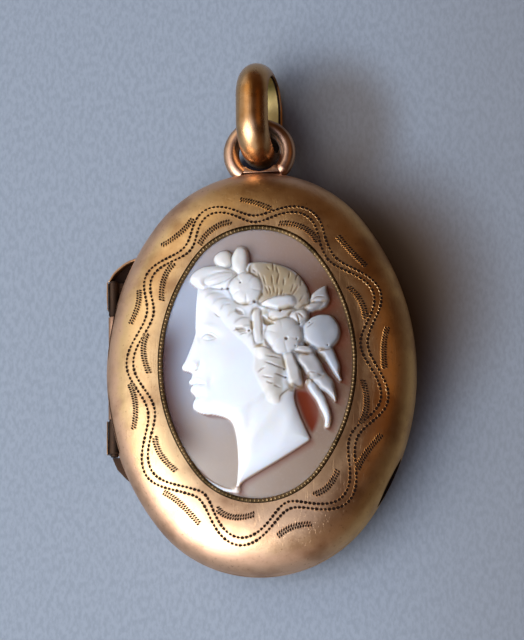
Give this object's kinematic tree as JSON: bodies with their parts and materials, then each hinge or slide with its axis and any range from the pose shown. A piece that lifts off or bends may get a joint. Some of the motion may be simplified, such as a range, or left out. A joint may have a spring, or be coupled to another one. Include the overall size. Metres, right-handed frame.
{
  "type": "photo locket",
  "caption": "Oval two-part metal locket that lies on its back, with a carved cameo set in its domed front, a side hinge, and a long bail through a soldered loop.",
  "frame": {"origin": "middle of the flat on the back half, which the locket lies on, at the crossing of the oval's two axes", "axes": "+Z out of the cameo, +Y along the oval towards the loop and bail, +X to the wearer's left, away from the hinge"},
  "size_m": [0.0309, 0.0529, 0.0105],
  "materials": {
    "case_metal": "worn rolled gold, polished and tarnished",
    "rose_metal": "worn rose gold plate, polished",
    "setting_metal": "milled gold, satin",
    "carved_shell": "carved shell, white relief on a lilac to pinkish brown ground, satin"
  },
  "bodies": {
    "back": {"back_cover": "case_metal", "hinge_pin": "rose_metal", "back_picture_rim": "setting_metal"},
    "front": {"front_cover": "case_metal", "cameo_setting": "setting_metal", "cameo": "carved_shell", "front_picture_rim": "setting_metal"},
    "bail_ring": {"bail": "rose_metal"}
  },
  "joints": [
    {"name": "cover_hinge", "type": "hinge", "parent": "back", "child": "front", "pos_m": [-0.0147, 0, 0.0044], "axis": [0, -1, 0], "range_deg": [0, 120]},
    {"name": "bail_swing", "type": "hinge", "parent": "back", "child": "bail_ring", "pos_m": [0.0002, 0.02585, 0.0044], "axis": [0.9925, 0, 0.1219], "range_deg": [-90, 90]}
  ]
}
